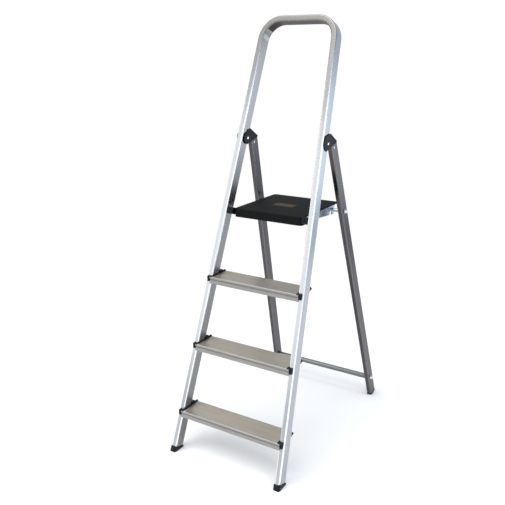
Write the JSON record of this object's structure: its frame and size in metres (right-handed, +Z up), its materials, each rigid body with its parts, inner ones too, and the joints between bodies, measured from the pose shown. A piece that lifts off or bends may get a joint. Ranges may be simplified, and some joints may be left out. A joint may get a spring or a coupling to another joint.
{
  "type": "platform step ladder",
  "caption": "Folding aluminium step ladder with ribbed treads, a lift-up black platform, a hand rail loop and a braced rear frame.",
  "frame": {"origin": "on the floor, at the centre of the open ladder's footprint box", "axes": "+Z up, +Y the way the user climbs, +X to the climbing user's right"},
  "size_m": [0.4702, 0.7937, 1.4845],
  "materials": {
    "frame_aluminium": "satin extruded",
    "tread_aluminium": "brushed",
    "leg_aluminium": "satin extruded",
    "crossbar_steel": "satin",
    "galvanised_steel": "zinc plated",
    "bright_fastener": "bright zinc",
    "black_plastic": "moulded",
    "platform_plastic": "moulded, fine grain",
    "foot_rubber": "moulded",
    "nylon": "moulded"
  },
  "bodies": {
    "front_frame_body": {"front_frame": "frame_aluminium", "tread_1": "tread_aluminium", "tread_2": "tread_aluminium", "tread_3": "tread_aluminium", "tread_bracket_1_right": "black_plastic", "tread_bracket_1_left": "black_plastic", "tread_bracket_2_right": "black_plastic", "tread_bracket_2_left": "black_plastic", "tread_bracket_3_right": "black_plastic", "tread_bracket_3_left": "black_plastic", "tread_screws": "bright_fastener", "front_foot_right": "foot_rubber", "front_foot_left": "foot_rubber", "pivot_block_right": "black_plastic", "pivot_block_left": "black_plastic", "pivot_block_screws": "bright_fastener", "hinge_bush_right": "nylon", "hinge_bush_left": "nylon"},
    "rear_frame_body": {"rear_leg_right": "leg_aluminium", "rear_leg_left": "leg_aluminium", "rear_foot_right": "foot_rubber", "rear_foot_left": "foot_rubber", "hinge_bracket_right": "black_plastic", "hinge_bracket_left": "black_plastic", "hinge_pin_right": "bright_fastener", "hinge_pin_left": "bright_fastener", "leg_rivet_right": "bright_fastener", "leg_rivet_left": "bright_fastener", "crossbar": "crossbar_steel", "crossbar_rod": "bright_fastener", "crossbar_nut_right": "bright_fastener", "crossbar_nut_left": "bright_fastener", "platform_rest_tube": "galvanised_steel", "platform_rest_rod": "bright_fastener", "platform_rest_nut_right": "bright_fastener", "platform_rest_nut_left": "bright_fastener"},
    "platform_body": {"platform": "platform_plastic", "platform_arm_right": "galvanised_steel", "platform_arm_left": "galvanised_steel", "platform_pin_right": "bright_fastener", "platform_pin_left": "bright_fastener", "platform_screws": "bright_fastener"}
  },
  "joints": [
    {"name": "rear_fold", "type": "hinge", "parent": "front_frame_body", "child": "rear_frame_body", "pos_m": [0, 0.01227, 1.0733], "axis": [-1, 0, 0], "range_deg": [0, 34]},
    {"name": "platform_lift", "type": "hinge", "parent": "front_frame_body", "child": "platform_body", "pos_m": [0, -0.07955, 0.828], "axis": [1, 0, 0], "range_deg": [0, 70.4]}
  ],
  "couplings": [
    {"joint": "platform_lift", "follows": "rear_fold", "ratio": 2.07}
  ]
}
